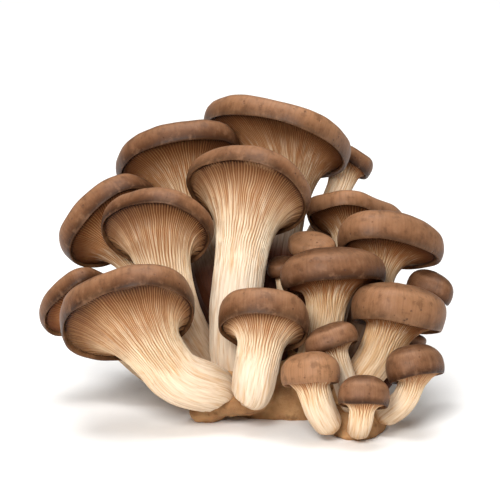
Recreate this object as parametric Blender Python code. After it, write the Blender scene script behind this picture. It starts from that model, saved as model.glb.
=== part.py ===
"""An oyster mushroom cluster: mushrooms of many sizes that grow from one cut butt.

Each mushroom is two solids. Its stem is a bent tube that flares into the underside of
the cap, with gills that run down from the margin on to the stem. Its cap is the brown
lid on that flare: a dome or a shallow funnel whose margin is rolled under.
The butt is the lump of mycelium that the stems stand in, cut flat underneath.

Lengths in the tables are millimetres, and the mesh is metres, +Z up, with the origin in
the butt's cut face, on the floor. The photograph's side faces -Y.
"""

import math
from typing import NamedTuple

import bmesh
import bpy
import numpy as np
from mathutils import Vector, noise

MM = 0.001
GAP = 0.3  # clearance between pieces that touch
CAP_BROWN = (0.30, 0.155, 0.078)
FLESH_CREAM = (0.74, 0.58, 0.40)
BUTT_TAN = (0.56, 0.40, 0.25)


class Head(NamedTuple):
    """A mushroom's cap, in millimetres and degrees."""

    middle: tuple  # of the plane that the margin lies in
    lean: tuple  # how far the cap leans: to the right, to the back
    size: tuple  # across the cap, and along it from the stem's side to the far margin
    crown: float  # the cap's middle above the margin's plane: below 0 it is a funnel
    margin: tuple  # rolled margin: its thickness, and its height down to the lip
    wave: float  # waviness of the margin, as a share of the cap's radius


class Stem(NamedTuple):
    """A mushroom's stem, in millimetres and degrees."""

    foot: tuple  # middle of its lower end
    rise: tuple  # how the stem leans at its foot: to the right, to the back
    radii: tuple  # at the neck, where the flare under the cap begins, and at the foot
    neck: float  # distance of the neck under the cap
    offset: float  # how far off the cap's middle it stands, as a share of half the length


class Mushroom(NamedTuple):
    name: str
    head: Head
    stem: Stem


class Fineness(NamedTuple):
    """How finely a group's mushrooms are made."""

    sides: int  # of the cap, around
    gills: int  # around the stem
    shares: tuple  # rings of the cap's top: shares of the way out from the hub
    flare: tuple  # rings of the flare: shares of the way down from the margin to the neck
    along: tuple  # rings of the stem: shares of the way down from the neck to the foot


# Every place is measured from the photograph, and depths are chosen to set the pieces apart.
# The broad funnels at the left and the top.
BIG = (
    Mushroom(
        "front_left",
        Head((-60, -41, 55.5), lean=(-5, 48), size=(67, 58), crown=-3, margin=(8, 13), wave=0.03),
        Stem((-20, -33, 12), rise=(12, 0), radii=(11.8, 9), neck=28, offset=0.42),
    ),
    Mushroom(
        "centre",
        Head((-5, 4, 99.5), lean=(16, 58), size=(58, 50), crown=-3, margin=(8, 11), wave=0.03),
        Stem((-11, -16, 12), rise=(-10, 5), radii=(11.2, 9), neck=36, offset=0.32),
    ),
    Mushroom(
        "left_centre",
        Head((-46.4, -4.4, 84.4), lean=(10, 58), size=(51, 46), crown=-3, margin=(8, 11), wave=0.03),
        Stem((-22, -1.5, 14), rise=(-18, 5), radii=(11, 6.5), neck=30, offset=0.28),
    ),
    Mushroom(
        "left",
        Head((-68.8, 24, 79.3), lean=(-31, 58), size=(49, 47), crown=-3, margin=(8, 12), wave=0.04),
        Stem((-23, 15, 13), rise=(-45, 15), radii=(8, 5.5), neck=30, offset=0.28),
    ),
    Mushroom(
        "upper_left",
        Head((-38.3, 41.7, 104.2), lean=(-9, 44), size=(59, 51), crown=-3, margin=(8, 11), wave=0.04),
        Stem((-10, 15, 16), rise=(-20, 10), radii=(9.5, 8), neck=32, offset=0.35),
    ),
    Mushroom(
        "top",
        Head((7.2, 55.5, 110.6), lean=(17, 36), size=(73, 67), crown=-3, margin=(8, 11), wave=0.04),
        Stem((4, 6, 20), rise=(0, 15), radii=(10, 8), neck=34, offset=0.33),
    ),
)
# The domes at the right and the front, and those behind.
MIDDLE = (
    Mushroom(
        "front_centre",
        Head((1, -42, 52.5), lean=(3, 44), size=(42, 38), crown=1, margin=(7.5, 15), wave=0.04),
        Stem((-8, -43, 14), rise=(45, 0), radii=(9.6, 7.8), neck=20, offset=0.05),
    ),
    Mushroom(
        "right_centre",
        Head((31, -17.5, 66), lean=(-7, 25), size=(49.5, 43), crown=12, margin=(12, 11), wave=0.03),
        Stem((20, -20, 12), rise=(0, 0), radii=(9, 6), neck=16, offset=0.15),
    ),
    Mushroom(
        "right",
        Head((61, -25, 51.6), lean=(8, 22), size=(47, 41), crown=12, margin=(13, 15), wave=0.04),
        Stem((36, -30, 10), rise=(30, 0), radii=(9.5, 6), neck=18, offset=0.1),
    ),
    Mushroom(
        "right_upper",
        Head((56.8, 12, 72.7), lean=(3, 34), size=(51, 42), crown=13, margin=(12, 12), wave=0.03),
        Stem((37, 1, 14), rise=(25, 10), radii=(8.2, 6.4), neck=15, offset=0.2),
    ),
    Mushroom(
        "far_left",
        Head((-83.3, 8, 46.6), lean=(-20, 52), size=(41, 34), crown=-2, margin=(7.5, 9), wave=0.04),
        Stem((-30, 5, 8), rise=(-88, 0), radii=(6, 7.5), neck=22, offset=0.2),
    ),
    Mushroom(
        "right_back",
        Head((42.4, 41.5, 76.5), lean=(-2, 38), size=(52.5, 37), crown=2, margin=(7, 9), wave=0.08),
        Stem((27, 15, 12), rise=(8, 30), radii=(7.3, 5.5), neck=17, offset=0.12),
    ),
    Mushroom(
        "top_behind",
        Head((38, 80, 93.1), lean=(22, 30), size=(29, 26), crown=3, margin=(6, 8), wave=0.05),
        Stem((8.3, 24.5, 18.5), rise=(-8, 50), radii=(5.7, 4.6), neck=15.5, offset=0.36),
    ),
    Mushroom(
        "back_upper",
        Head((-18, 66, 70), lean=(-8, 50), size=(44, 40), crown=-1, margin=(8, 9), wave=0.05),
        Stem((-1.5, 24, 13), rise=(-5, 45), radii=(7.5, 5.5), neck=22, offset=0.25),
    ),
    Mushroom(
        "back_left",
        Head((-52, 48, 50), lean=(-40, 40), size=(38, 34), crown=1, margin=(8, 9), wave=0.05),
        Stem((-20, 25, 6), rise=(-40, 30), radii=(7, 5), neck=20, offset=0.2),
    ),
    Mushroom(
        "back_right",
        Head((43, 62, 44), lean=(20, 45), size=(36, 32), crown=2, margin=(8, 9), wave=0.05),
        Stem((14, 23, 5), rise=(25, 50), radii=(6.5, 5), neck=18, offset=0.2),
    ),
)
# The young ones.
SMALL = (
    Mushroom(
        "low_middle",
        Head((45, -66, 23), lean=(3, 24), size=(24, 22), crown=10, margin=(7, 8), wave=0.03),
        Stem((43, -58, 2.6), rise=(0, 5), radii=(5.2, 4.5), neck=9, offset=0.0),
    ),
    Mushroom(
        "low_left",
        Head((22, -60, 32), lean=(-3, 20), size=(28, 26), crown=10, margin=(7.5, 9), wave=0.03),
        Stem((31.6, -58, 4.6), rise=(-25, 0), radii=(7, 5.4), neck=11, offset=0.0),
    ),
    Mushroom(
        "low_right",
        Head((68, -48, 31), lean=(-12, 22), size=(29, 26), crown=11, margin=(7.5, 9), wave=0.03),
        Stem((53, -46, 6), rise=(31, 0), radii=(5.5, 5), neck=12, offset=0.12),
    ),
    Mushroom(
        "slim_front",
        Head((31, -42, 42), lean=(-20, 22), size=(25, 23), crown=8, margin=(7, 8), wave=0.04),
        Stem((42, -44, 9), rise=(-25, 0), radii=(5, 4.5), neck=11, offset=0.05),
    ),
    Mushroom(
        "right_edge",
        Head((76, 8, 52), lean=(20, 15), size=(25, 23), crown=8, margin=(7, 8), wave=0.08),
        Stem((45, -4, 8), rise=(50, 10), radii=(4.5, 4), neck=11, offset=0.1),
    ),
    Mushroom(
        "back_low_left",
        Head((-26, 58, 28), lean=(-20, 50), size=(26, 24), crown=5, margin=(6, 7), wave=0.04),
        Stem((-9, 27, 4.3), rise=(-20, 60), radii=(5, 4), neck=11, offset=0.1),
    ),
    Mushroom(
        "back_low_right",
        Head((58, 34, 35), lean=(32, 35), size=(28, 25), crown=6, margin=(6, 8), wave=0.04),
        Stem((35, 9.5, 4.5), rise=(35, 30), radii=(5, 4), neck=11, offset=0.1),
    ),
)
# The youngest, between the others' stems.
TINY = (
    Mushroom(
        "low_behind",
        Head((66.5, -11.2, 34.2), lean=(10, 15), size=(16, 15), crown=3, margin=(5, 5), wave=0.03),
        Stem((48.5, -19.5, 6.5), rise=(25, 0), radii=(3.4, 3.2), neck=7, offset=0.0),
    ),
    Mushroom(
        "inner_tan",
        Head((22, 10, 72), lean=(0, -10), size=(22, 18), crown=5, margin=(5, 6), wave=0.03),
        Stem((17, 2, 20), rise=(5, 5), radii=(3.8, 3.5), neck=7, offset=0.0),
    ),
    Mushroom(
        "inner_dark",
        Head((9, 2, 64), lean=(-10, 0), size=(16, 15), crown=5, margin=(5, 6), wave=0.03),
        Stem((8, -8, 20), rise=(0, 5), radii=(3.3, 3.2), neck=7, offset=0.0),
    ),
)

# The lumps that the butt is made of: middle, half sizes, and turn about Z in degrees.
LUMPS = (
    ((8, 0, 6), (43, 26, 20), -12),
    ((42, -37, 3), (14, 21, 10), 0),
    ((-11, -25, 13), (17, 16, 11), 0),
    ((-24, -25, 4.5), (9, 8, 6), 20),
)
LUMP_NOISE = 2.0
SOCKET_SIDES = 8

GROUPS = (
    (BIG, Fineness(22, 26, (0.45, 0.8), (0, 0.3, 0.65, 1), (0, 0.45, 1))),
    (MIDDLE, Fineness(16, 17, (0.45, 0.8), (0, 0.45, 1), (0, 0.5, 1))),
    (SMALL, Fineness(12, 11, (0.6,), (0, 0.45, 1), (0, 0.5, 1))),
    (TINY, Fineness(10, 8, (0.6,), (0, 0.45, 1), (0, 0.5, 1))),
)
ROLL = (50, 0, -70)  # rings of the rolled margin: degrees above and below its edge
DOME = (62, 40, 16)  # rings of a dome: degrees up from its widest part
FULLNESS = 0.87  # below 1 a dome's flanks stand out further than an ellipse's
LIP = 0.2  # how far the margin's lower half turns in, as a share of its thickness
RIDGES = (0.35, 0.25, 0.12)  # heights of gills, at the neck and of the stem, per spacing

# Stems whose lower ends show: they are rounded over.
FEET_IN_SIGHT = ("front_left", "front_centre", "low_left", "low_middle", "low_right")
ROUNDING = (0.93, 0.68)  # where along the stem it starts, and what it leaves of the radius
FOOT_TIP = 0.3  # how far the foot's tip stands out, as a share of the foot's radius


def unit(vector):
    return vector / np.linalg.norm(vector)


def leaning(right, back):
    """Straight up, leaned by two angles in degrees."""
    a, b = math.radians(right), math.radians(back)
    return np.array([math.sin(a), math.cos(a) * math.sin(b), math.cos(a) * math.cos(b)])


def bezier(points, t):
    """Points on a cubic curve. t is an array, and each control point may be an array too."""
    a, b, c, d = points
    t = np.asarray(t)[..., None]
    return a * (1 - t) ** 3 + 3 * b * t * (1 - t) ** 2 + 3 * c * t**2 * (1 - t) + d * t**3


class Cap:
    """Where a mushroom's cap lies: its own axes, its outline, and heights over its plane."""

    def __init__(self, m):
        self.m = m
        self.normal = leaning(*m.head.lean)
        middle = np.array(m.head.middle, float)
        away = middle - np.array(m.stem.foot)
        self.reach = unit(away - (away @ self.normal) * self.normal)
        self.side = np.cross(self.normal, self.reach)
        self.width, self.length = m.head.size
        self.hub = middle - self.reach * m.stem.offset * self.length / 2
        draw = np.random.default_rng(sum(map(ord, m.name)))
        self.phases = draw.uniform(0, 2 * math.pi, 4)

    def outline(self, theta):
        """The margin's outermost points, from the hub, at these angles round the cap."""
        wave, sway = 1.0, 0.0
        for k, phase in enumerate(self.phases):
            wave = wave + self.m.head.wave * np.cos((k + 2) * theta + phase) / (k + 1.5)
            sway = sway + self.m.head.wave * np.sin((k + 2) * theta + 2 * phase) / (k + 1.5)
        along = (np.cos(theta) + self.m.stem.offset) * self.length / 2 * wave
        across = np.sin(theta) * (1 + 0.1 * np.cos(theta)) * self.width / 2 * wave
        lift = sway * self.width / 4
        return np.outer(along, self.reach) + np.outer(across, self.side) + np.outer(lift, self.normal)

    def ring(self, theta, inward, height):
        """A ring this far in from the outline, at this height over the margin's plane."""
        out = self.outline(theta)
        far = np.linalg.norm(out, axis=1)[:, None]
        return self.hub + out * (1 - inward / far) + self.normal * height

    def share_ring(self, theta, share, height):
        """A ring at a share of the way from the hub to the shoulder of the margin."""
        out = self.outline(theta)
        far = np.linalg.norm(out, axis=1)[:, None]
        shoulder = out * (1 - 0.6 * self.m.head.margin[0] / far)
        return self.hub + shoulder * share + self.normal * height

    def dome_ring(self, theta, angle):
        """A ring on a dome, this many degrees up from its widest part: 90 is its middle."""
        a = math.radians(angle)
        out = self.outline(theta) * math.cos(a) ** FULLNESS
        return self.hub + out + self.normal * self.m.head.crown * math.sin(a) ** FULLNESS


def cap_rings(cap, theta, shares):
    """The cap's skin, from its middle over the rolled margin to the gills' outer ends."""
    thick, tall = cap.m.head.margin
    crown = cap.m.head.crown
    if crown > tall / 2:
        rings = [cap.dome_ring(theta, angle) for angle in DOME[-len(shares) - 1 :]]
        roll = ROLL[1:]
    else:
        rings = [
            cap.share_ring(theta, q, tall / 2 + (crown - tall / 2) * (1 - q * q)) for q in shares
        ]
        roll = ROLL
    for angle in roll:
        a = math.radians(angle)
        half = thick / 2 if angle > 0 else thick * LIP
        rings.append(cap.ring(theta, half * (1 - math.cos(a)), tall / 2 * math.sin(a)))
    return rings


def seat_height(m, share):
    """Height of the face where cap and gills meet: at the margin (share 0) and at the hub (1)."""
    crown, tall = m.head.crown, m.head.margin[1]
    at_margin = -0.28 * tall
    at_hub = min(crown, 0.4 * tall) - 4.0
    return at_margin + (at_hub - at_margin) * share


def stem_radius(m, share):
    """The stem's radius at a share of the way from neck to foot, without its ridges."""
    upper, lower = m.stem.radii
    return (upper + (lower - upper) * share) * (1 + 0.08 * math.sin(math.pi * share))


def centre_line(cap):
    """The stem's curve, from the neck to the foot, and the direction it starts in."""
    stem = cap.m.stem
    foot = np.array(stem.foot, float)
    neck = cap.hub + (unit(foot - cap.hub) - cap.normal) * stem.neck / 2
    up = unit(0.6 * cap.normal + unit(neck - foot))
    span = np.linalg.norm(neck - foot)
    line = (neck, neck - up * span * 0.4, foot + leaning(*stem.rise) * span * 0.3, foot)
    return line, up


def gill_grid(cap, gills, flare, along):
    """The ribbed skin from the margin down to the foot: an array of rings by points."""
    m = cap.m
    theta = np.arange(2 * gills) * math.pi / gills
    start = cap.ring(theta, 2 * LIP * m.head.margin[0] + 1.0, seat_height(m, 0) - GAP)
    line, up = centre_line(cap)
    frames = stem_frames(line, along, cap.reach)
    end = stem_ring(frames[0], theta, stem_radius(m, 0))
    inward = cap.hub - start
    inward = inward - np.outer(inward @ cap.normal, cap.normal)
    reach = np.linalg.norm(inward, axis=1)[:, None]
    towards = inward / reach - cap.normal * 0.2
    flat = np.clip(reach - m.stem.radii[0], 1.0, None)
    bend = (start, start + towards * flat * 0.55, end + up * m.stem.neck * 0.55, end)
    rings = [bezier(bend, np.full(len(theta), t)) for t in flare]
    rings += [stem_ring(frame, theta, stem_radius(m, frame[0])) for frame in frames[1:]]
    if m.name in FEET_IN_SIGHT:
        rings[-1] = stem_ring(frames[-1], theta, stem_radius(m, 1) * ROUNDING[1])
    gill, neck, stem = RIDGES
    ridge = [gill] * (len(flare) - 1) + [neck] + [stem] * (len(along) - 2) + [0]
    return add_ridges(np.array(rings), gills, ridge)


def stem_frames(line, along, reach):
    """(share, centre, axis, axis) at each share of the stem from neck to foot, untwisted."""
    frames, axis = [], reach
    for share in along:
        centre = bezier(line, np.array([share]))[0]
        nearby = bezier(line, np.array([share - 0.01, share + 0.01]))
        tangent = unit(nearby[1] - nearby[0])
        axis = unit(axis - (axis @ tangent) * tangent)
        frames.append((share, centre, axis, -np.cross(tangent, axis)))
    return frames


def stem_ring(frame, theta, radius):
    _, centre, first, second = frame
    return centre + radius * (np.outer(np.cos(theta), first) + np.outer(np.sin(theta), second))


def add_ridges(rings, gills, ridge):
    """Raises every other line of points, by a share of the gills' spacing."""
    around = np.roll(rings, -1, axis=1) - np.roll(rings, 1, axis=1)
    down = np.gradient(rings, axis=0)
    outward = np.cross(down, around)
    outward /= np.linalg.norm(outward, axis=2)[..., None]
    girth = np.linalg.norm(np.diff(rings, axis=1, append=rings[:, :1]), axis=2).sum(axis=1)
    height = np.array(ridge) * girth / gills
    raised = np.arange(2 * gills) % 2
    return rings + outward * height[:, None, None] * raised[None, :, None]


def loft(name, rings, first_pole, last_pole, material):
    """A closed mesh through rings of equal length, ending in a pole at each end."""
    shape = bmesh.new()
    loops = [[shape.verts.new(Vector(p) * MM) for p in ring] for ring in rings]
    ends = [shape.verts.new(Vector(p) * MM) for p in (first_pole, last_pole)]
    count = len(loops[0])
    for upper, lower in zip(loops, loops[1:]):
        for j in range(count):
            k = (j + 1) % count
            shape.faces.new((upper[j], lower[j], lower[k], upper[k]))
    for j in range(count):
        k = (j + 1) % count
        shape.faces.new((ends[0], loops[0][j], loops[0][k]))
        shape.faces.new((ends[1], loops[-1][k], loops[-1][j]))
    bmesh.ops.triangulate(shape, faces=shape.faces)
    bmesh.ops.recalc_face_normals(shape, faces=shape.faces)
    mesh = bpy.data.meshes.new(name)
    shape.to_mesh(mesh)
    shape.free()
    mesh.materials.append(material)
    mesh.shade_smooth()
    return bpy.data.objects.new(name, mesh)


def make_cap(m, fine, material):
    cap = Cap(m)
    theta = np.arange(fine.sides) * 2 * math.pi / fine.sides
    rings = cap_rings(cap, theta, fine.shares)
    rings.append(cap.ring(theta, 2 * LIP * m.head.margin[0], seat_height(m, 0) + GAP / 2))
    middle = cap.hub + cap.normal * m.head.crown
    under = cap.hub + cap.normal * (seat_height(m, 1) + GAP / 2)
    return loft(f"{m.name}_cap", rings, middle, under, material)


def rings_along(m, fine):
    """Where the stem's rings are, with one more near a foot that is rounded over."""
    if m.name in FEET_IN_SIGHT:
        return (*fine.along[:-1], ROUNDING[0], 1)
    return fine.along


def make_stem(m, fine, material):
    cap = Cap(m)
    rings = gill_grid(cap, fine.gills, fine.flare, rings_along(m, fine))
    over = cap.hub + cap.normal * (seat_height(m, 1) - GAP)
    tip = rings[-1].mean(axis=0) - leaning(*m.stem.rise) * m.stem.radii[1] * FOOT_TIP
    return loft(f"{m.name}_stem", rings, over, tip, material)


def make_cutter(m, fine, grow, material):
    """The plain tube that a stem fills, grown by this much: it cuts what the stem presses on."""
    cap = Cap(m)
    theta = np.arange(SOCKET_SIDES) * 2 * math.pi / SOCKET_SIDES
    line, up = centre_line(cap)
    frames = stem_frames(line, rings_along(m, fine), cap.reach)
    across_corners = 1 / math.cos(math.pi / SOCKET_SIDES)
    rings = [stem_ring(f, theta, stem_radius(m, f[0]) * across_corners + grow) for f in frames]
    neck = frames[0][1] + up * grow
    tip = frames[-1][1] - leaning(*m.stem.rise) * (m.stem.radii[1] * FOOT_TIP + 2 * grow)
    return loft(f"{m.name}_cutter", rings, neck, tip, material)


def cut(piece, operand, operation="DIFFERENCE"):
    """Adds a Boolean to a piece: with a collection's objects, or with one object."""
    boolean = piece.modifiers.new("cut", "BOOLEAN")
    boolean.operation = operation
    boolean.solver = "EXACT"
    if isinstance(operand, bpy.types.Collection):
        boolean.operand_type = "COLLECTION"
        boolean.collection = operand
    else:
        boolean.object = operand


def make_lump(middle, half, turn, seed):
    """One lump of mycelium: a ball pressed to its size and made uneven."""
    shape = bmesh.new()
    bmesh.ops.create_uvsphere(shape, u_segments=13, v_segments=7, radius=1)
    around = math.radians(turn)
    for v in shape.verts:
        bump = 1 + LUMP_NOISE / min(half) * noise.noise(v.co * 1.7 + Vector((seed, 0, 0)))
        x, y, z = (c * h * bump for c, h in zip(v.co, half))
        v.co = Vector(
            (
                middle[0] + x * math.cos(around) - y * math.sin(around),
                middle[1] + x * math.sin(around) + y * math.cos(around),
                middle[2] + z,
            )
        ) * MM
    mesh = bpy.data.meshes.new(f"lump_{seed}")
    shape.to_mesh(mesh)
    shape.free()
    return bpy.data.objects.new(f"lump_{seed}", mesh)


def make_floor_block():
    """A box whose top is the plane z = 0: it cuts the butt flat."""
    mesh = bpy.data.meshes.new("under_floor")
    shape = bmesh.new()
    bmesh.ops.create_cube(shape, size=1)
    for v in shape.verts:
        v.co = Vector((v.co.x * 400, v.co.y * 400, v.co.z * 100 - 50)) * MM
    shape.to_mesh(mesh)
    shape.free()
    return bpy.data.objects.new("under_floor", mesh)


def make_material(name, colour, roughness):
    material = bpy.data.materials.new(name)
    material.use_nodes = True
    shader = material.node_tree.nodes["Principled BSDF"]
    shader.inputs["Base Color"].default_value = (*colour, 1.0)
    shader.inputs["Roughness"].default_value = roughness
    shader.inputs["Metallic"].default_value = 0.0
    return material


def clear_scene():
    for thing in list(bpy.data.objects):
        bpy.data.objects.remove(thing)


def add_collection(name, hidden):
    collection = bpy.data.collections.new(name)
    bpy.context.scene.collection.children.link(collection)
    collection.hide_render = hidden
    return collection


def hide_cutter(thing):
    thing.hide_render = True
    thing.display_type = "WIRE"


def build():
    clear_scene()
    cluster = add_collection("oyster_mushroom_cluster", False)
    cutters = add_collection("cutters", True)
    brown = make_material("cap_brown", CAP_BROWN, 0.55)
    cream = make_material("flesh_cream", FLESH_CREAM, 0.7)
    tan = make_material("butt_tan", BUTT_TAN, 0.85)
    sockets = bpy.data.collections.new("sockets")
    cutters.children.link(sockets)
    for mushrooms, fine in GROUPS:
        for m in mushrooms:
            cluster.objects.link(make_cap(m, fine, brown))
            cluster.objects.link(make_stem(m, fine, cream))
            tube = make_cutter(m, fine, 2 * GAP, cream)
            sockets.objects.link(tube)
            hide_cutter(tube)
    butt, *others = [make_lump(*lump, seed) for seed, lump in enumerate(LUMPS)]
    butt.name = "butt"
    butt.data.name = "butt"
    butt.data.materials.append(tan)
    cluster.objects.link(butt)
    for other in others:
        cutters.objects.link(other)
        hide_cutter(other)
        cut(butt, other, "UNION")
    floor_block = make_floor_block()
    cutters.objects.link(floor_block)
    hide_cutter(floor_block)
    cut(butt, floor_block)
    cut(butt, sockets)


build()
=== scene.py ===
"""An oyster mushroom cluster on a pale floor, photographed from a little above.

The mushrooms stand in one cut butt. Each is a fleshy stem that flares into gills, under a
brown cap whose margin is rolled down over the gills' outer ends.
Lengths in the tables are millimetres, and the meshes are metres.
"""

import math
from typing import NamedTuple

import bmesh
import bpy
import numpy as np
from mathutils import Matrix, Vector, noise


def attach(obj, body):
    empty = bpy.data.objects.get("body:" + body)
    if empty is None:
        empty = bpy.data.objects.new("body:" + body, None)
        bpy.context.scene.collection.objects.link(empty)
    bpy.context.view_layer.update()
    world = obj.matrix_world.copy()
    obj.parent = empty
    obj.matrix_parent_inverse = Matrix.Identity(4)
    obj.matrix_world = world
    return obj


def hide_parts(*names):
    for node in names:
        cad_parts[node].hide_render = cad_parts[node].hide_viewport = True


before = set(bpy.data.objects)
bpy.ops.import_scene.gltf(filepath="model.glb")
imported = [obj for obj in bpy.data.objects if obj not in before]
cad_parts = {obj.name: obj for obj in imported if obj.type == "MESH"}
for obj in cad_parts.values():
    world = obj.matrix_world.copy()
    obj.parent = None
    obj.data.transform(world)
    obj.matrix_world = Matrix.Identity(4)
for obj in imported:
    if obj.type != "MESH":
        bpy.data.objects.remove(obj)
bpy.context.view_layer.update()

# The butt. The mycelium that all the stems grow from: a pale tan, spongy lump that was cut
# flat from its growing block. The stems stand sunk in it, and it shows between their feet.
MM = 0.001
BUTT_LUMPS = (
    # middle, half sizes, turn about Z
    ((8, 0, 6), (43, 26, 20), -12),
    ((42, -37, 3), (14, 21, 10), 0),
    ((-11, -25, 13), (17, 16, 11), 0),
    ((-24, -25, 4.5), (9, 8, 6), 20),
)
BUTT_GRAIN = 0.9  # edge of the grid that the lumps are fused on
BUTT_SOFTENING = 14  # rounds of smoothing over the seams between the lumps
BUTT_SWELLS = ((9, 1.1), (3.5, 0.55), (1.4, 0.2))  # length and height of each unevenness
BUTT_SINK = 0.5  # how far the whole skin is drawn in before it swells


def srgb(red, green, blue):
    """A colour read off the photograph, 0 to 255, as the shader's linear colour."""
    parts = [c / 255 for c in (red, green, blue)]
    return (*[p / 12.92 if p < 0.0405 else ((p + 0.055) / 1.055) ** 2.4 for p in parts], 1.0)


class Wire:
    """A node's output that takes part in sums: each sum adds its own Math node."""

    def __init__(self, graph, socket):
        self.graph = graph
        self.socket = socket

    def __add__(self, other):
        return self.graph.sum("ADD", self, other)

    def __radd__(self, other):
        return self.graph.sum("ADD", other, self)

    def __sub__(self, other):
        return self.graph.sum("SUBTRACT", self, other)

    def __rsub__(self, other):
        return self.graph.sum("SUBTRACT", other, self)

    def __mul__(self, other):
        return self.graph.sum("MULTIPLY", self, other)

    def __rmul__(self, other):
        return self.graph.sum("MULTIPLY", other, self)

    def __truediv__(self, other):
        return self.graph.sum("DIVIDE", self, other)

    def __pow__(self, other):
        return self.graph.sum("POWER", self, other)


class Graph:
    """A node tree, of a material or of a modifier, that is built by expressions."""

    def __init__(self, tree):
        self.tree = tree

    def add(self, kind, settings=None, inputs=None, output=0):
        """Any node: its settings first, then what its sockets hold or are linked to."""
        node = self.tree.nodes.new(kind)
        for name, value in (settings or {}).items():
            if name == "stops":
                self.set_stops(node.color_ramp, value)
            else:
                setattr(node, name, value)
        for key, value in (inputs or {}).items():
            if isinstance(value, Wire):
                self.tree.links.new(value.socket, node.inputs[key])
            else:
                node.inputs[key].default_value = value
        return Wire(self, node.outputs[output]) if len(node.outputs) else node

    def set_stops(self, ramp, stops):
        while len(ramp.elements) < len(stops):
            ramp.elements.new(1.0)
        for element, (place, colour) in zip(ramp.elements, stops):
            element.position = place
            element.color = colour

    def sum(self, operation, *values):
        return self.add("ShaderNodeMath", {"operation": operation}, dict(enumerate(values)))

    def ease(self, value, start, end):
        """0 before start, 1 after end, and smooth between them."""
        return self.add(
            "ShaderNodeMapRange",
            {"interpolation_type": "SMOOTHSTEP"},
            {"Value": value, "From Min": start, "From Max": end},
        )

    def cloud(self, place, scale, detail=2.0, roughness=0.5):
        """Soft noise, about 0 to 1."""
        inputs = {"Vector": place, "Scale": scale, "Detail": detail, "Roughness": roughness}
        return self.add("ShaderNodeTexNoise", {}, inputs)

    def stretch(self, place, x, y, z):
        """A place scaled along each axis, so that a pattern read there is drawn out."""
        factors = {0: place, 1: (x, y, z)}
        return self.add("ShaderNodeVectorMath", {"operation": "MULTIPLY"}, factors)

    def blend(self, factor, under, over, way="MIX"):
        """The second colour laid over the first, as far as the factor says."""
        settings = {"data_type": "RGBA", "blend_type": way, "clamp_factor": True}
        return self.add("ShaderNodeMix", settings, {0: factor, 6: under, 7: over}, 2)

    def ramp(self, value, stops):
        return self.add("ShaderNodeValToRGB", {"stops": stops}, {"Fac": value})

    def bump(self, height, distance, strength):
        """A normal that tilts as if the surface stood up where height is large."""
        inputs = {"Height": height, "Distance": distance, "Strength": strength}
        return self.add("ShaderNodeBump", {}, inputs)

    def read(self, name, output="Fac"):
        """An attribute of the piece that wears the material."""
        return self.add("ShaderNodeAttribute", {"attribute_name": name}, {}, output)

    def place(self):
        return self.add("ShaderNodeTexCoord", {}, {}, "Object")


def start_material(name, constants):
    """A new material with these constants on its shader."""
    material = bpy.data.materials.new(name)
    material.use_nodes = True
    shader = material.node_tree.nodes["Principled BSDF"]
    for socket, value in constants.items():
        shader.inputs[socket].default_value = value
    return material, Graph(material.node_tree), shader


def wire_up(graph, shader, **wires):
    """Links what changes over the surface: base_color=..., roughness=..., normal=..."""
    for name, wire in wires.items():
        graph.tree.links.new(wire.socket, shader.inputs[name.replace("_", " ").title()])


butt_skin, g, shader = start_material(
    "butt_skin",
    {"Subsurface Weight": 0.15, "Subsurface Scale": 0.002, "Specular IOR Level": 0.3},
)
where = g.place()
lumps = g.cloud(where, 90, 3)
fluff = g.cloud(where, 900, 4, 0.65)
soil = g.ease(g.cloud(where, 240, 3), 0.56, 0.7)
tan = g.ramp(
    lumps,
    ((0.3, srgb(120, 80, 46)), (0.5, srgb(158, 112, 70)), (0.7, srgb(190, 146, 100))),
)
tan = g.blend(fluff * 0.3, tan, srgb(206, 168, 122))
tan = g.blend(soil * 0.5, tan, srgb(98, 62, 34))
wire_up(
    g,
    shader,
    base_color=tan,
    roughness=0.72 + fluff * 0.2,
    normal=g.bump(fluff + lumps * 2, 0.0006, 0.8),
)


def make_butt():
    """The lumps, fused on a fine grid, cut flat at the floor and made uneven."""
    shape = bmesh.new()
    for middle, half, turn in BUTT_LUMPS:
        ball = bmesh.ops.create_icosphere(shape, subdivisions=4, radius=1)["verts"]
        c, s = math.cos(math.radians(turn)), math.sin(math.radians(turn))
        for v in ball:
            x, y, z = (a * h for a, h in zip(v.co, half))
            v.co = Vector((middle[0] + x * c - y * s, middle[1] + x * s + y * c, middle[2] + z)) * MM
    mesh = bpy.data.meshes.new("butt_flesh")
    shape.to_mesh(mesh)
    shape.free()
    piece = bpy.data.objects.new("butt_flesh", mesh)
    bpy.context.scene.collection.objects.link(piece)
    fuse = piece.modifiers.new("fuse", "REMESH")
    fuse.mode = "VOXEL"
    fuse.voxel_size = BUTT_GRAIN * MM
    soften = piece.modifiers.new("soften", "SMOOTH")
    soften.factor = 0.5
    soften.iterations = BUTT_SOFTENING
    bpy.context.view_layer.update()
    fused = bpy.data.meshes.new_from_object(piece.evaluated_get(bpy.context.evaluated_depsgraph_get()))
    piece.modifiers.clear()
    shape = bmesh.new()
    shape.from_mesh(fused)
    for v in shape.verts:
        p = v.co / MM
        swell = sum(height * noise.noise(p / length) for length, height in BUTT_SWELLS)
        v.co += v.normal * (swell - BUTT_SINK) * MM
    everything = shape.verts[:] + shape.edges[:] + shape.faces[:]
    cut = bmesh.ops.bisect_plane(
        shape, geom=everything, plane_co=(0, 0, 0), plane_no=(0, 0, -1), clear_outer=True
    )
    rim = [e for e in cut["geom_cut"] if isinstance(e, bmesh.types.BMEdge)]
    bmesh.ops.edgeloop_fill(shape, edges=rim)
    bmesh.ops.recalc_face_normals(shape, faces=shape.faces)
    shape.to_mesh(fused)
    shape.free()
    fused.shade_smooth()
    piece.data = fused
    fused.name = "butt_flesh"
    fused.materials.append(butt_skin)
    return piece


butt = make_butt()
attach(butt, "root")
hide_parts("butt")


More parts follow.
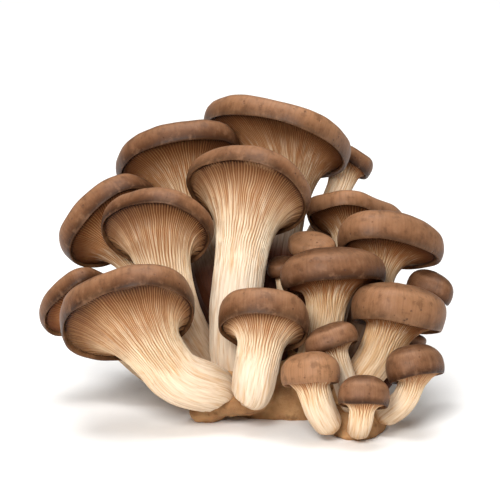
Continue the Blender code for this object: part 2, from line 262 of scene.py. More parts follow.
# The stems and gills of the broad funnels. Six old mushrooms at the left and the top, seen
# from underneath. Each stem's flesh widens without a break into the cap, and the gills are thin
# blades that run down it from the margin, join in pairs and end as long wavy ridges.
class Head(NamedTuple):
    """A mushroom's cap."""

    middle: tuple  # of the plane that the margin lies in
    lean: tuple  # how far the cap leans: to the right, to the back
    size: tuple  # across the cap, and along it from the stem's side to the far margin
    crown: float  # the cap's middle above the margin's plane: below 0 it is a funnel
    margin: tuple  # rolled margin: its thickness, and its height down to the lip
    wave: float  # waviness of the margin, as a share of the cap's radius
    tan: float = 0.5  # the skin's colour: 0 is grey brown, 1 is light tan


class Stem(NamedTuple):
    """A mushroom's stem."""

    foot: tuple  # middle of its lower end
    rise: tuple  # how the stem leans at its foot: to the right, to the back
    radii: tuple  # at the neck, where the flare under the cap begins, and at the foot
    neck: float  # distance of the neck under the cap
    offset: float  # how far off the cap's middle it stands, as a share of half the length
    ochre: float = 0.3  # the flesh's colour: 0 is cream white, 1 is ochre
    browned: float = 0.0  # painted shade: how far the stem is darkened where the others shade it
    round_foot: bool = False  # a foot that shows is rounded over


class Mushroom(NamedTuple):
    """One mushroom. Its two nodes are its name with _cap and with _stem."""

    name: str
    head: Head
    stem: Stem


FUNNELS = (
    Mushroom(
        "front_left",
        Head((-60, -41, 55.5), (-5, 48), (67, 58), -3, (8, 13), 0.03, tan=0.45),
        Stem((-20, -33, 12), (12, 0), (11.8, 9), 28, 0.42, ochre=0.3, round_foot=True),
    ),
    Mushroom(
        "centre",
        Head((-5, 4, 99.5), (16, 58), (58, 50), -3, (8, 11), 0.03, tan=0.5),
        Stem((-11, -16, 12), (-10, 5), (11.2, 9), 36, 0.32, ochre=0.0),
    ),
    Mushroom(
        "left_centre",
        Head((-46.4, -4.4, 84.4), (10, 58), (51, 46), -3, (8, 11), 0.03, tan=0.45),
        Stem((-22, -1.5, 14), (-18, 5), (11, 6.5), 30, 0.28, ochre=0.3, browned=0.25),
    ),
    Mushroom(
        "left",
        Head((-68.8, 24, 79.3), (-31, 58), (49, 47), -3, (8, 12), 0.04, tan=0.4),
        Stem((-23, 15, 13), (-45, 15), (8, 5.5), 30, 0.28, ochre=0.5, browned=0.75),
    ),
    Mushroom(
        "upper_left",
        Head((-38.3, 41.7, 104.2), (-9, 44), (59, 51), -3, (8, 11), 0.04, tan=0.25),
        Stem((-10, 15, 16), (-20, 10), (9.5, 8), 32, 0.35, ochre=0.4, browned=1.0),
    ),
    Mushroom(
        "top",
        Head((7.2, 55.5, 110.6), (17, 36), (73, 67), -3, (8, 11), 0.04, tan=0.6),
        Stem((4, 6, 20), (0, 15), (10, 8), 34, 0.33, ochre=0.25, browned=1.0),
    ),
)
SHOULDER = 0.6  # how far in the top meets the rolled margin, as a share of its thickness
LIP = 0.15  # half width of the margin's lower round, as a share of its thickness
FULLNESS = 0.87  # below 1 a dome's flanks stand out further than an ellipse's
SEAT_DROP = 0.38  # of the gills' outer ends under the margin's plane, as a share of its height
SEAT_RISE = 0.4  # the most of a dome's height that raises its hub's seat, as a share of the same
CAP_THICKNESS = 4.0  # about the least, at the hub
TUCK = 0.1  # how far the flesh's edge reaches in under the cap, and its middle is let down
BELLY = 0.08  # how much fuller a stem is halfway down
ROUND_FROM = 0.8  # how far down a foot that shows starts to round over
ROUND_SPAN = 0.27  # a little more than what is left, so that its end is blunt
NECK_PULL = 0.4  # length of a stem curve's handle at the neck, as a share of its span
FOOT_PULL = 0.3  # and at the foot
FLARE_PULL = 0.55  # of both handles from the margin to the neck: a share of width and height
FLARE_DIP = 0.2  # how steeply the flesh leaves the margin
FOOT_BULGE = 0.3  # how far a foot's end stands out, as a share of its radius
LEAST_STEP = 0.6  # between two rings, as the streaks count their way down
DRUM_RADIUS = 1.5  # of the drum that the streaks follow, as a share of the neck's
GILL_SPACING = 1.35  # at the margin
GILL_POINTS = 5  # points of the mesh across one gill


def unit(vector):
    """The vector's direction."""
    return vector / np.linalg.norm(vector)


def leaning(right, back):
    """Straight up, leaned by two angles in degrees."""
    a, b = math.radians(right), math.radians(back)
    return np.array([math.sin(a), math.cos(a) * math.sin(b), math.cos(a) * math.cos(b)])


def bezier(points, t):
    """Points on a cubic curve. t is an array, and each control point may be an array too."""
    a, b, c, d = points
    t = np.asarray(t)[..., None]
    return a * (1 - t) ** 3 + 3 * b * t * (1 - t) ** 2 + 3 * c * t**2 * (1 - t) + d * t**3


class Cap:
    """Where a mushroom's cap lies: its own axes, its outline, and heights over its plane."""

    def __init__(self, m):
        self.m = m
        self.normal = leaning(*m.head.lean)
        middle = np.array(m.head.middle, float)
        away = middle - np.array(m.stem.foot)
        self.reach = unit(away - (away @ self.normal) * self.normal)
        self.side = np.cross(self.normal, self.reach)
        self.width, self.length = m.head.size
        self.hub = middle - self.reach * m.stem.offset * self.length / 2
        self.seed = sum(map(ord, m.name))
        draw = np.random.default_rng(self.seed)
        self.phases = draw.uniform(0, 2 * math.pi, 4)

    def outline(self, theta):
        """The margin's outermost points, from the hub, at these angles round the cap."""
        wave, sway = 1.0, 0.0
        for k, phase in enumerate(self.phases):
            wave = wave + self.m.head.wave * np.cos((k + 2) * theta + phase) / (k + 1.5)
            sway = sway + self.m.head.wave * np.sin((k + 2) * theta + 2 * phase) / (k + 1.5)
        along = (np.cos(theta) + self.m.stem.offset) * self.length / 2 * wave
        across = np.sin(theta) * (1 + 0.1 * np.cos(theta)) * self.width / 2 * wave
        lift = sway * self.width / 4
        return np.outer(along, self.reach) + np.outer(across, self.side) + np.outer(lift, self.normal)

    def ring(self, theta, inward, height):
        """A ring this far in from the outline, at this height over the margin's plane."""
        out = self.outline(theta)
        far = np.linalg.norm(out, axis=1)[:, None]
        return self.hub + out * (1 - inward / far) + self.normal * height

    def share_ring(self, theta, share, height):
        """A ring at a share of the way from the hub to the shoulder of the margin."""
        out = self.outline(theta)
        far = np.linalg.norm(out, axis=1)[:, None]
        shoulder = out * (1 - SHOULDER * self.m.head.margin[0] / far)
        return self.hub + shoulder * share + self.normal * height

    def dome_ring(self, theta, angle):
        """A ring on a dome, this many degrees up from its widest part: 90 is its middle."""
        a = math.radians(angle)
        out = self.outline(theta) * math.cos(a) ** FULLNESS
        return self.hub + out + self.normal * self.m.head.crown * math.sin(a) ** FULLNESS


def seat_height(m, share):
    """Height of the face where cap and gills meet: at the margin (share 0) and at the hub (1)."""
    crown, tall = m.head.crown, m.head.margin[1]
    at_margin = -SEAT_DROP * tall
    at_hub = min(crown, SEAT_RISE * tall) - CAP_THICKNESS
    return at_margin + (at_hub - at_margin) * share


def stem_radius(m, share):
    """The stem's radius at a share of the way from neck to foot, and rounded at the foot."""
    upper, lower = m.stem.radii
    radius = (upper + (lower - upper) * share) * (1 + BELLY * math.sin(math.pi * share))
    if m.stem.round_foot and share > ROUND_FROM:
        radius *= math.sqrt(1 - ((share - ROUND_FROM) / ROUND_SPAN) ** 2)
    return radius


def centre_line(cap):
    """The stem's curve, from the neck to the foot, and the way up along it at the neck."""
    stem = cap.m.stem
    foot = np.array(stem.foot, float)
    neck = cap.hub + (unit(foot - cap.hub) - cap.normal) * stem.neck / 2
    up = unit(0.6 * cap.normal + unit(neck - foot))
    span = np.linalg.norm(neck - foot)
    below_neck = neck - up * span * NECK_PULL
    above_foot = foot + leaning(*stem.rise) * span * FOOT_PULL
    return (neck, below_neck, above_foot, foot), up


def rings_along(m, line, theta, shares, axis):
    """Rings round the stem's curve that don't twist."""
    rings = []
    for share in shares:
        centre = bezier(line, np.array([share]))[0]
        nearby = bezier(line, np.array([share - 0.01, share + 0.01]))
        tangent = unit(nearby[1] - nearby[0])
        axis = unit(axis - (axis @ tangent) * tangent)
        second = -np.cross(tangent, axis)
        turn = np.outer(np.cos(theta), axis) + np.outer(np.sin(theta), second)
        rings.append(centre + stem_radius(m, share) * turn)
    return rings


def close_rings(name, rings, first_pole, last_pole):
    """A closed mesh through rings of points, ending in a pole at each end, faces outwards."""
    rings = np.asarray(rings)
    rows, count = rings.shape[:2]
    points = np.vstack([rings.reshape(-1, 3), first_pole, last_pole]) * MM
    j = np.arange(count)
    k = (j + 1) % count
    row = np.arange(rows - 1)[:, None] * count
    quads = np.stack([row + j, row + count + j, row + count + k, row + k], axis=-1).reshape(-1, 4)
    top, bottom, last = rows * count, rows * count + 1, (rows - 1) * count
    first_lid = np.stack([np.full(count, top), j, k], 1)
    last_lid = np.stack([np.full(count, bottom), last + k, last + j], 1)
    lids = np.vstack([first_lid, last_lid])
    a, b, c = (points[quads[:, n]] for n in (0, 1, 2))
    if np.einsum("ij,ij->", np.cross(a, b), c) < 0:
        quads, lids = quads[:, ::-1], lids[:, ::-1]
    corners = np.concatenate([quads.ravel(), lids.ravel()])
    starts = np.concatenate([np.arange(len(quads)) * 4, 4 * len(quads) + np.arange(len(lids)) * 3])
    mesh = bpy.data.meshes.new(name)
    mesh.vertices.add(len(points))
    mesh.vertices.foreach_set("co", points.ravel())
    mesh.loops.add(len(corners))
    mesh.loops.foreach_set("vertex_index", corners)
    mesh.polygons.add(len(starts))
    mesh.polygons.foreach_set("loop_start", starts)
    mesh.update(calc_edges=True)
    mesh.shade_smooth()
    return mesh


def give(mesh, name, values, kind="FLOAT"):
    """Writes a value, or a vector, at each of the mesh's points."""
    layer = mesh.attributes.new(name, kind, "POINT")
    field = "value" if kind == "FLOAT" else "vector"
    layer.data.foreach_set(field, np.asarray(values, dtype=np.float32).ravel())


# Raises the gills: along the piece's "around" (0 to 1) and "down" (0 margin, 1 neck, 2 foot).
gill_tree = bpy.data.node_groups.new("gills", "GeometryNodeTree")
for label, kind in (
    ("Geometry", "NodeSocketGeometry"),
    ("Gills", "NodeSocketFloat"),
    ("Height", "NodeSocketFloat"),
    ("Wander", "NodeSocketFloat"),
    ("Seed", "NodeSocketFloat"),
    ("Material", "NodeSocketMaterial"),
):
    gill_tree.interface.new_socket(label, in_out="INPUT", socket_type=kind)
gill_tree.interface.new_socket("Geometry", in_out="OUTPUT", socket_type="NodeSocketGeometry")
g = Graph(gill_tree)


def attribute(name):
    """A value that the mesh carries on its points."""
    return g.add("GeometryNodeInputNamedAttribute", {"data_type": "FLOAT"}, {"Name": name})


def crest(phase, sharpness):
    """1 along the middle of each gill, 0 between gills."""
    wave = 0.5 - 0.5 * g.sum("COSINE", phase * (2 * math.pi))
    return wave**sharpness


def given(label):
    """One of the tree's own inputs."""
    return g.add("NodeGroupInput", {}, {}, label)


around, down = attribute("around"), attribute("down")
spot = g.add("GeometryNodeInputPosition")
noise_4d = {"noise_dimensions": "4D"}
drift = g.add(
    "ShaderNodeTexNoise", noise_4d, {"Vector": spot, "W": given("Seed"), "Scale": 70.0, "Detail": 1.0}
)
sway = g.add(
    "ShaderNodeTexNoise", noise_4d, {"Vector": spot, "W": given("Seed"), "Scale": 190.0, "Detail": 1.0}
)
wander = ((drift - 0.5) * 4.0 + (sway - 0.5) * 1.8) * given("Wander")
phase = around * given("Gills") + wander * (0.25 + down)
own = g.add(
    "ShaderNodeTexWhiteNoise",
    {"noise_dimensions": "2D"},
    {"Vector": g.add("ShaderNodeCombineXYZ", {}, {"X": g.sum("FLOOR", phase), "Y": given("Seed")})},
)
fine = crest(phase, 1.25) * (0.45 + 0.55 * own)
pairs = crest(phase / 2 + (sway - 0.5) * 0.3, 1.4)
folds = crest(phase / 4 + (drift - 0.5) * 1.4, 1.3)
broad = crest(phase / 9 + (drift - 0.5) * 2.0, 1.0)
near_margin = g.ease(down, 0.0, 0.05)
fine_share = 1 - g.ease(down + (drift - 0.5) * 0.5, 0.4, 0.85)
pair_share = g.ease(down, 0.4, 0.8) * (1 - g.ease(down + (drift - 0.5) * 0.6, 0.8, 1.2))
fold_share = g.ease(down, 0.7, 1.1) * (1 - g.ease(down, 1.7, 1.97))
ridge = near_margin * (fine * fine_share + pairs * pair_share) + folds * fold_share * 0.8
height = near_margin * (fine * fine_share + pairs * pair_share * 0.7)
uneven = g.ease(drift, 0.3, 0.7)
height = height + (pairs * 0.05 + folds * (0.02 + 0.12 * uneven) + broad * 0.32) * fold_share
marked = g.add(
    "GeometryNodeStoreNamedAttribute",
    {"data_type": "FLOAT", "domain": "POINT"},
    {"Geometry": given("Geometry"), "Name": "ridge", "Value": ridge},
)
outward = g.add("GeometryNodeInputNormal")
offset = g.add(
    "ShaderNodeVectorMath",
    {"operation": "SCALE"},
    {"Vector": outward, "Scale": (height - 0.45 * near_margin * (1 - fold_share)) * given("Height")},
)
raised = g.add("GeometryNodeSetPosition", {}, {"Geometry": marked, "Offset": offset})
real = g.add("GeometryNodeRealizeInstances", {}, {"Geometry": raised})
dressed = g.add("GeometryNodeSetMaterial", {}, {"Geometry": real, "Material": given("Material")})
g.add("NodeGroupOutput", {}, {"Geometry": dressed})

flesh_skin, g, shader = start_material(
    "flesh_skin",
    {
        "Subsurface Weight": 0.15,
        "Subsurface Radius": (1.0, 0.7, 0.5),
        "Subsurface Scale": 0.0015,
        "Specular IOR Level": 0.2,
    },
)
down, ridge, ochre = g.read("down"), g.read("ridge"), g.read("ochre")
skin = g.read("skin", "Vector")
where = g.place()
patches = g.cloud(where, 60, 2)
fibres = g.cloud(g.stretch(skin, 1, 1, 0.09), 0.9, 3, 0.6)
threads = g.cloud(g.stretch(skin, 1, 1, 0.12), 2.6, 2, 0.6)
# Paler down the stem. The darkest browns at the margin end of the gills are partly their own browner
# colour and partly painted shade under the cap's rim.
flesh = g.ramp(
    down * 0.5 + (patches - 0.5) * 0.1,
    (
        (0.0, srgb(92, 60, 32)),
        (0.08, srgb(136, 98, 64)),
        (0.2, srgb(200, 166, 130)),
        (0.36, srgb(224, 204, 176)),
        (0.6, srgb(224, 208, 188)),
        (0.96, srgb(208, 188, 164)),
    ),
)
warm = g.blend(1.0, flesh, srgb(238, 206, 156), "MULTIPLY")
flesh = g.blend(ochre * 0.7 + (patches - 0.5) * 0.3, flesh, warm)
# The grooves between the gills, and faintly those between the stem's ridges, are darker and more
# ochre: partly the flesh's own colour there, partly painted shade in the grooves.
gill_zone = 1 - g.ease(down, 0.55, 1.15)
groove_shade_and_tint = (1 - g.ease(ridge, 0.05, 0.75)) * (0.1 + 0.8 * gill_zone)
flesh = g.blend(groove_shade_and_tint, flesh, g.blend(1.0, flesh, srgb(180, 142, 104), "MULTIPLY"))
streak = g.ease(fibres, 0.48, 0.68) * g.ease(down, 0.15, 0.5)
flesh = g.blend(streak * 0.55, flesh, g.blend(1.0, flesh, srgb(216, 174, 122), "MULTIPLY"))
pale = g.ease(fibres, 0.5, 0.3) * g.ease(down, 0.2, 0.5)
flesh = g.blend(pale * 0.4, flesh, srgb(240, 224, 198))
stain = g.ease(g.cloud(g.stretch(skin, 1, 1, 0.22), 0.2, 2), 0.54, 0.7) * g.ease(down, 0.6, 1.0)
flesh = g.blend(stain * 0.45, flesh, srgb(200, 156, 106))
tip = g.ease(down, 1.72, 1.97) * ochre
flesh = g.blend(tip, flesh, srgb(190, 140, 86))
# Painted shade: below the neck, stems deep among the others are darkened towards dark brown, where the
# other mushrooms shade them.
crowded_shade = g.read("browned") * g.ease(down, 0.95, 1.3)
flesh = g.blend(crowded_shade, flesh, g.blend(1.0, flesh, srgb(80, 42, 14), "MULTIPLY"))
wire_up(
    g,
    shader,
    base_color=flesh,
    roughness=0.5 + fibres * 0.25,
    normal=g.bump(fibres + threads * 0.5, 0.0003, 0.7),
)


def make_stem(m, flare_rings, stem_rings, gill_height):
    """A stem and its gills, with so many rings from the margin to the neck and down to the foot.

    Its points carry how far round the cap and down the stem they lie, and their place on a
    straight drum, which the streaks of the flesh follow.
    """
    cap = Cap(m)
    circumference = math.pi * (cap.width + cap.length) / 2
    gills = 4 * round(circumference / GILL_SPACING / 4)
    theta = np.arange(GILL_POINTS * gills) * 2 * math.pi / (GILL_POINTS * gills)
    start = cap.ring(theta, 2 * LIP * m.head.margin[0] - TUCK, seat_height(m, 0) + TUCK)
    line, up = centre_line(cap)
    down_stem = np.linspace(0, 1, stem_rings)
    stem = rings_along(m, line, theta, down_stem, cap.reach)
    end = stem[0]
    inward = cap.hub - start
    inward = inward - np.outer(inward @ cap.normal, cap.normal)
    reach = np.linalg.norm(inward, axis=1)[:, None]
    towards = inward / reach - cap.normal * FLARE_DIP
    flat = np.clip(reach - m.stem.radii[0], 1.0, None)
    below_margin = start + towards * flat * FLARE_PULL
    above_neck = end + up * m.stem.neck * FLARE_PULL
    down_flare = np.linspace(0, 1, flare_rings)[:-1]
    bend = (start, below_margin, above_neck, end)
    rings = [bezier(bend, np.full(len(theta), t)) for t in down_flare] + stem
    over = cap.hub + cap.normal * (seat_height(m, 1) - TUCK)
    tip = rings[-1].mean(axis=0) - leaning(*m.stem.rise) * m.stem.radii[1] * FOOT_BULGE
    mesh = close_rings(f"{m.name}_flesh", rings, over, tip)
    down = np.concatenate([down_flare, 1 + down_stem])
    lengths = np.linalg.norm(np.diff([r.mean(axis=0) for r in rings], axis=0), axis=1)
    run = np.concatenate([[0], np.cumsum(np.maximum(lengths, LEAST_STEP))])
    rows, count = len(rings), len(theta)
    radius = m.stem.radii[0] * DRUM_RADIUS
    drum = np.empty((rows, count, 3))
    drum[..., 0] = np.cos(theta) * radius + cap.seed
    drum[..., 1] = np.sin(theta) * radius
    drum[..., 2] = run[:, None]
    ends = [[cap.seed, 0, 0], [cap.seed, 0, run[-1]]]
    give(mesh, "around", [*np.tile(np.arange(count) / count, rows), 0, 0])
    give(mesh, "down", [*np.repeat(down, count), 0, 2])
    give(mesh, "ochre", np.full(rows * count + 2, m.stem.ochre))
    give(mesh, "browned", np.full(rows * count + 2, m.stem.browned))
    give(mesh, "skin", np.vstack([drum.reshape(-1, 3), ends]), "FLOAT_VECTOR")
    piece = bpy.data.objects.new(mesh.name, mesh)
    bpy.context.scene.collection.objects.link(piece)
    raise_gills(piece, gills, gill_height, cap.seed)
    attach(piece, "root")
    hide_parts(f"{m.name}_stem")


def raise_gills(piece, gills, gill_height, seed):
    """Runs the gill tree over a stem and keeps its result as the stem's own mesh."""
    values = {
        "Gills": float(gills),
        "Height": gill_height * MM,
        "Wander": 1.0,
        "Seed": float(seed),
        "Material": flesh_skin,
    }
    modifier = piece.modifiers.new("gills", "NODES")
    modifier.node_group = gill_tree
    for item in gill_tree.interface.items_tree:
        if item.in_out == "INPUT" and item.name in values:
            modifier[item.identifier] = values[item.name]
    seen = piece.evaluated_get(bpy.context.evaluated_depsgraph_get())
    name = piece.data.name
    mesh = bpy.data.meshes.new_from_object(seen)
    piece.modifiers.clear()
    old = piece.data
    piece.data = mesh
    bpy.data.meshes.remove(old)
    mesh.name = name


for m in FUNNELS:
    make_stem(m, flare_rings=30, stem_rings=26, gill_height=1.0)


# The caps of the broad funnels. A thin brown skin over pale flesh: satin, finely fibrous from
# the middle outwards, and mottled with tan. The margin is rolled under, so the side that the
# camera sees is the rim's outside.
TOP_SHARES = (0.1, 0.3, 0.5, 0.7, 0.86)  # rings of a funnel's top: from the hub to its shoulder
DOME = (84, 73, 62, 50, 38, 27, 14)  # rings of a dome: degrees up from its widest part
ROLL = (60, 30, 0, -30, -60, -90, -120, -150)  # rings of a margin: degrees round its roll
DOME_ROLL = ROLL[2:]  # a dome's flank takes the place of the first two
ROUNDING = 0.66  # half width of the margin's upper round, as a share of its thickness
RIM_LIFT = 0.2  # of a funnel's rim over the first ring of its roll
FUNNEL_CURVE = 1.5  # how gently a funnel's top levels out at its rim
DOME_SPREAD = 1.29  # what "out" is at a dome's widest part
UNDERSIDE = 0.15  # of the cap over the face that it shares with the flesh
CAP_STEPS = 4  # rings of the mesh between two rings of the profile
DENT_WAVES = ((30, 0.6), (17, 0.35), (9, 0.14))  # length and share of each size of dent

cap_skin, g, shader = start_material(
    "cap_skin",
    {
        "Subsurface Weight": 0.1,
        "Subsurface Radius": (1.0, 0.5, 0.3),
        "Subsurface Scale": 0.0015,
        "Specular IOR Level": 0.16,
    },
)
tan, out = g.read("tan"), g.read("out")  # "out" is 0 at the hub, 1 at the rim, 2 underneath
fibre = g.read("fibre", "Vector")
where = g.place()
patches = g.cloud(where, 55, 3, 0.55)
mottle = g.cloud(where, 260, 3, 0.6)
grain = g.cloud(where, 1500, 2)
streaks = g.cloud(g.stretch(fibre, 22, 22, 1.6), 1.0, 3, 0.6)
hairs = g.cloud(g.stretch(fibre, 70, 70, 3.5), 1.0, 2, 0.6)
# Over the rolled margin this ramp holds a painted highlight on the roll's upper round (about 0.57) and
# painted shade on its lower round, where it turns under (0.72 to 0.86).
brown = g.ramp(
    out * 0.5 + (patches - 0.5) * 0.04,
    (
        (0.0, srgb(94, 63, 42)),
        (0.38, srgb(90, 60, 39)),
        (0.5, srgb(106, 72, 48)),
        (0.57, srgb(138, 99, 71)),
        (0.65, srgb(116, 79, 54)),
        (0.72, srgb(82, 51, 30)),
        (0.78, srgb(48, 27, 13)),
        (0.86, srgb(76, 48, 28)),
        (1.0, srgb(110, 76, 48)),
    ),
)
brown = g.blend((tan - 0.4) * 0.9 + (patches - 0.5) * 0.7, brown, srgb(172, 126, 90))
brown = g.blend((0.42 - tan) * 1.3, brown, srgb(72, 43, 25))
brown = g.blend(g.ease(mottle, 0.5, 0.72) * 0.3, brown, srgb(150, 110, 82))
brown = g.blend(g.ease(mottle, 0.5, 0.3) * 0.4, brown, srgb(64, 38, 22))
brown = g.blend((streaks - 0.42) * 0.9, brown, srgb(70, 43, 26))
dots = g.add("ShaderNodeTexVoronoi", {}, {"Vector": where, "Scale": 300.0})
speck = (1 - g.ease(dots, 0.06, 0.2)) * g.ease(patches, 0.46, 0.6)
brown = g.blend(speck * 0.6, brown, srgb(58, 32, 22))
wire_up(
    g,
    shader,
    base_color=brown,
    roughness=0.36 + mottle * 0.2,
    normal=g.bump(
        streaks * 0.5 + hairs * 0.25 + mottle * 0.9 + grain * 0.3 - speck * 1.2, 0.0004, 0.6
    ),
)


def smooth_rows(rows, steps):
    """More rows between these, on curves that pass through each of them."""
    rows = np.asarray(rows)
    padded = np.concatenate([[2 * rows[0] - rows[1]], rows, [2 * rows[-1] - rows[-2]]])
    result = []
    for a, b, c, d in zip(padded, padded[1:], padded[2:], padded[3:]):
        for t in np.arange(steps) / steps:
            result.append(
                b
                + 0.5 * t * (c - a + t * (2 * a - 5 * b + 4 * c - d + t * (3 * (b - c) + d - a)))
            )
    return np.array([*result, rows[-1]])


def dent(mesh, depth, seed):
    """Presses the skin in and out a little, in waves of many directions."""
    draw = np.random.default_rng(seed)
    count = len(mesh.vertices)
    points, normals = np.empty(3 * count), np.empty(3 * count)
    mesh.vertices.foreach_get("co", points)
    mesh.vertices.foreach_get("normal", normals)
    points, normals = points.reshape(-1, 3), normals.reshape(-1, 3)
    push = np.zeros(count)
    for length, share in DENT_WAVES:
        for _ in range(4):
            direction = unit(draw.normal(size=3)) * 2 * math.pi / (length * MM)
            push += share * np.sin(points @ direction + draw.uniform(0, 6))
    points += normals * (push * depth * MM)[:, None]
    mesh.vertices.foreach_set("co", points.ravel())
    mesh.update()


def make_cap(m, sides, dents):
    """The lid on the gills: its top, its rolled margin and its lip, a little dented."""
    cap = Cap(m)
    theta = np.arange(sides) * 2 * math.pi / sides
    thick, tall = m.head.margin
    crown = m.head.crown
    if crown > tall / 2:
        rings = [cap.dome_ring(theta, angle) for angle in DOME]
        out = [DOME_SPREAD * math.cos(math.radians(angle)) for angle in DOME]
        roll = DOME_ROLL
    else:
        rim = tall / 2 * math.sin(math.radians(ROLL[0])) + RIM_LIFT
        heights = [rim + (crown - rim) * (1 - q * q) ** FUNNEL_CURVE for q in TOP_SHARES]
        rings = [cap.share_ring(theta, q, h) for q, h in zip(TOP_SHARES, heights)]
        out = list(TOP_SHARES)
        roll = ROLL
    for angle in roll:
        a = math.radians(angle)
        half = thick * (ROUNDING if angle > 0 else LIP)
        rings.append(cap.ring(theta, half * (1 - math.cos(a)), tall / 2 * math.sin(a)))
        out.append(1 + (ROLL[0] - angle) / (ROLL[0] - ROLL[-1]))
    rings.append(cap.ring(theta, 2 * LIP * thick, seat_height(m, 0) + UNDERSIDE))
    out.append(2.0)
    rings = smooth_rows(rings, CAP_STEPS)
    out = smooth_rows(np.array(out)[:, None], CAP_STEPS)[:, 0]
    middle = cap.hub + cap.normal * crown
    under = cap.hub + cap.normal * (seat_height(m, 1) + UNDERSIDE)
    mesh = close_rings(f"{m.name}_skin", rings, middle, under)
    rows = len(rings)
    fibre = np.empty((rows, sides, 3))
    fibre[..., 0] = np.cos(theta) + cap.seed
    fibre[..., 1] = np.sin(theta)
    fibre[..., 2] = out[:, None]
    ends = [[cap.seed, 0, 0], [cap.seed, 0, 2]]
    give(mesh, "out", [*np.repeat(out, sides), 0, 2])
    give(mesh, "tan", np.full(rows * sides + 2, m.head.tan))
    give(mesh, "fibre", np.vstack([fibre.reshape(-1, 3), ends]), "FLOAT_VECTOR")
    dent(mesh, dents, cap.seed)
    mesh.materials.append(cap_skin)
    piece = bpy.data.objects.new(mesh.name, mesh)
    bpy.context.scene.collection.objects.link(piece)
    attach(piece, "root")
    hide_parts(f"{m.name}_cap")


for m in FUNNELS:
    make_cap(m, sides=144, dents=0.22)


# The younger mushrooms. They stand all round the funnels. Three at the right are still domed,
# so mostly their brown skin shows, and the others have grown nearly flat.
YOUNGER = (
    Mushroom(
        "front_centre",
        Head((1, -42, 52.5), (3, 44), (42, 38), 1, (7.5, 15), 0.04, tan=0.5),
        Stem((-8, -43, 14), (45, 0), (9.6, 7.8), 20, 0.05, ochre=0.15, round_foot=True),
    ),
    Mushroom(
        "right_centre",
        Head((31, -17.5, 66), (-7, 25), (49.5, 43), 12, (12, 11), 0.03, tan=0.3),
        Stem((20, -20, 12), (0, 0), (9, 6), 16, 0.15, ochre=0.8, browned=0.35),
    ),
    Mushroom(
        "right",
        Head((61, -25, 51.6), (8, 22), (47, 41), 12, (13, 15), 0.04, tan=0.7),
        Stem((36, -30, 10), (30, 0), (9.5, 6), 18, 0.1, ochre=0.8),
    ),
    Mushroom(
        "right_upper",
        Head((56.8, 12, 72.7), (3, 34), (51, 42), 13, (12, 12), 0.03, tan=0.65),
        Stem((37, 1, 14), (25, 10), (8.2, 6.4), 15, 0.2, ochre=0.6, browned=0.85),
    ),
    Mushroom(
        "far_left",
        Head((-83.3, 8, 46.6), (-20, 52), (41, 34), -2, (7.5, 9), 0.04, tan=0.4),
        Stem((-30, 5, 8), (-88, 0), (6, 7.5), 22, 0.2, ochre=0.9, browned=0.35),
    ),
    Mushroom(
        "right_back",
        Head((42.4, 41.5, 76.5), (-2, 38), (52.5, 37), 2, (7, 9), 0.08, tan=0.8),
        Stem((27, 15, 12), (8, 30), (7.3, 5.5), 17, 0.12, ochre=0.5, browned=0.7),
    ),
    Mushroom(
        "top_behind",
        Head((38, 80, 93.1), (22, 30), (29, 26), 3, (6, 8), 0.05, tan=0.4),
        Stem((8.3, 24.5, 18.5), (-8, 50), (5.7, 4.6), 15.5, 0.36, ochre=0.3, browned=0.1),
    ),
    Mushroom(
        "back_upper",
        Head((-18, 66, 70), (-8, 50), (44, 40), -1, (8, 9), 0.05, tan=0.5),
        Stem((-1.5, 24, 13), (-5, 45), (7.5, 5.5), 22, 0.25, browned=0.9),
    ),
    Mushroom(
        "back_left",
        Head((-52, 48, 50), (-40, 40), (38, 34), 1, (8, 9), 0.05, tan=0.45),
        Stem((-20, 25, 6), (-40, 30), (7, 5), 20, 0.2, browned=0.8),
    ),
    Mushroom(
        "back_right",
        Head((43, 62, 44), (20, 45), (36, 32), 2, (8, 9), 0.05, tan=0.6),
        Stem((14, 23, 5), (25, 50), (6.5, 5), 18, 0.2, browned=0.5),
    ),
)
for m in YOUNGER:
    make_stem(m, flare_rings=24, stem_rings=22, gill_height=1.0)
    make_cap(m, sides=112, dents=0.22)


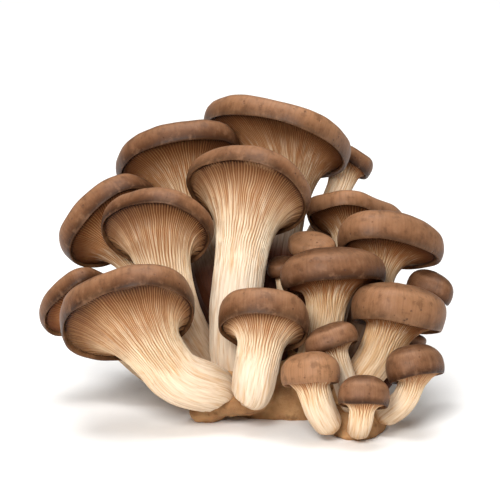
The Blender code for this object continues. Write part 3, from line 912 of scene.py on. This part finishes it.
# The buttons. Mushrooms a few days old, domed and with finer gills, on short stems at the foot
# of the cluster, round its edge and in the gaps between the others.
BUTTONS = (
    Mushroom(
        "low_middle",
        Head((45, -66, 23), (3, 24), (24, 22), 10, (7, 8), 0.03, tan=0.4),
        Stem((43, -58, 2.6), (0, 5), (5.2, 4.5), 9, 0.0, ochre=0.6, round_foot=True),
    ),
    Mushroom(
        "low_left",
        Head((22, -60, 32), (-3, 20), (28, 26), 10, (7.5, 9), 0.03, tan=1.0),
        Stem((31.6, -58, 4.6), (-25, 0), (7, 5.4), 11, 0.0, ochre=0.4, round_foot=True),
    ),
    Mushroom(
        "low_right",
        Head((68, -48, 31), (-12, 22), (29, 26), 11, (7.5, 9), 0.03, tan=0.3),
        Stem((53, -46, 6), (31, 0), (5.5, 5), 12, 0.12, ochre=0.5, round_foot=True),
    ),
    Mushroom(
        "slim_front",
        Head((31, -42, 42), (-20, 22), (25, 23), 8, (7, 8), 0.04, tan=0.45),
        Stem((42, -44, 9), (-25, 0), (5, 4.5), 11, 0.05, ochre=0.2),
    ),
    Mushroom(
        "right_edge",
        Head((76, 8, 52), (20, 15), (25, 23), 8, (7, 8), 0.08, tan=0.1),
        Stem((45, -4, 8), (50, 10), (4.5, 4), 11, 0.1, ochre=0.6, browned=0.8),
    ),
    Mushroom(
        "back_low_left",
        Head((-26, 58, 28), (-20, 50), (26, 24), 5, (6, 7), 0.04, tan=0.6),
        Stem((-9, 27, 4.3), (-20, 60), (5, 4), 11, 0.1, browned=0.5),
    ),
    Mushroom(
        "back_low_right",
        Head((58, 34, 35), (32, 35), (28, 25), 6, (6, 8), 0.04, tan=0.5),
        Stem((35, 9.5, 4.5), (35, 30), (5, 4), 11, 0.1, browned=0.8),
    ),
    Mushroom(
        "low_behind",
        Head((66.5, -11.2, 34.2), (10, 15), (16, 15), 3, (5, 5), 0.03, tan=0.4),
        Stem((48.5, -19.5, 6.5), (25, 0), (3.4, 3.2), 7, 0.0, ochre=0.6, browned=1.0),
    ),
    Mushroom(
        "inner_tan",
        Head((22, 10, 72), (0, -10), (22, 18), 5, (5, 6), 0.03, tan=1.0),
        Stem((17, 2, 20), (5, 5), (3.8, 3.5), 7, 0.0, ochre=0.6, browned=1.0),
    ),
    Mushroom(
        "inner_dark",
        Head((9, 2, 64), (-10, 0), (16, 15), 5, (5, 6), 0.03, tan=0.3),
        Stem((8, -8, 20), (0, 5), (3.3, 3.2), 7, 0.0, ochre=0.6, browned=1.0),
    ),
)
for m in BUTTONS:
    make_stem(m, flare_rings=18, stem_rings=18, gill_height=0.7)
    make_cap(m, sides=80, dents=0.16)


# The studio. A wide white sheet under the cluster, a soft lamp over the camera, a broader one
# straight above the cluster, and white walls all round.
paper, g, shader = start_material("paper", {"Roughness": 0.9, "Specular IOR Level": 0.1})
weave = g.cloud(g.place(), 400, 2)
wire_up(
    g,
    shader,
    base_color=g.blend(weave, srgb(250, 250, 249), srgb(254, 254, 254)),
    normal=g.bump(weave, 0.0001, 0.1),
)
HALF_SHEET = 6  # metres
corners = [(-HALF_SHEET, -HALF_SHEET, 0), (HALF_SHEET, -HALF_SHEET, 0)]
corners += [(HALF_SHEET, HALF_SHEET, 0), (-HALF_SHEET, HALF_SHEET, 0)]
sheet = bpy.data.meshes.new("floor")
sheet.from_pydata(corners, [], [(0, 1, 2, 3)])
sheet.materials.append(paper)
floor = bpy.data.objects.new("floor", sheet)
bpy.context.scene.collection.objects.link(floor)

walls = bpy.data.worlds.new("walls")
walls.use_nodes = True
glow = walls.node_tree.nodes["Background"]
glow.inputs["Color"].default_value = (1.0, 0.99, 0.97, 1.0)
glow.inputs["Strength"].default_value = 0.22
bpy.context.scene.world = walls


LAMP_TARGET = (0, 0, 0.06)


def aim(thing, place, target):
    """Puts a lamp or the camera at a place and turns it to look at the target."""
    thing.location = place
    direction = Vector(target) - Vector(place)
    thing.rotation_euler = direction.to_track_quat("-Z", "Y").to_euler()
    bpy.context.scene.collection.objects.link(thing)


def add_lamp(name, place, size, watts, colour):
    """A round, soft lamp that faces the cluster."""
    lamp = bpy.data.lights.new(name, "AREA")
    lamp.shape = "DISK"
    lamp.size = size
    lamp.energy = watts
    lamp.color = colour
    aim(bpy.data.objects.new(name, lamp), place, LAMP_TARGET)


add_lamp("key", (-0.25, -1.2, 0.8), 0.6, 20.5, (1.0, 0.99, 0.97))
add_lamp("top", (0.0, 0.05, 1.4), 1.2, 21, (1.0, 1.0, 1.0))

CAMERA_TARGET = (-0.0054, 0.0, 0.0726)
CAMERA_DISTANCE = 6.0  # so far off that the near mushrooms are no larger than the far ones
CAMERA_RISE = math.radians(16)
LENS_PER_METRE = 160.0  # focal length in millimetres for each metre of distance
lens = bpy.data.cameras.new("camera")
lens.lens = LENS_PER_METRE * CAMERA_DISTANCE
lens.sensor_width = 36.0
camera = bpy.data.objects.new("camera", lens)
back = Vector((0, -math.cos(CAMERA_RISE), math.sin(CAMERA_RISE))) * CAMERA_DISTANCE
aim(camera, Vector(CAMERA_TARGET) + back, CAMERA_TARGET)
bpy.context.scene.camera = camera
bpy.context.scene.view_settings.view_transform = "Standard"
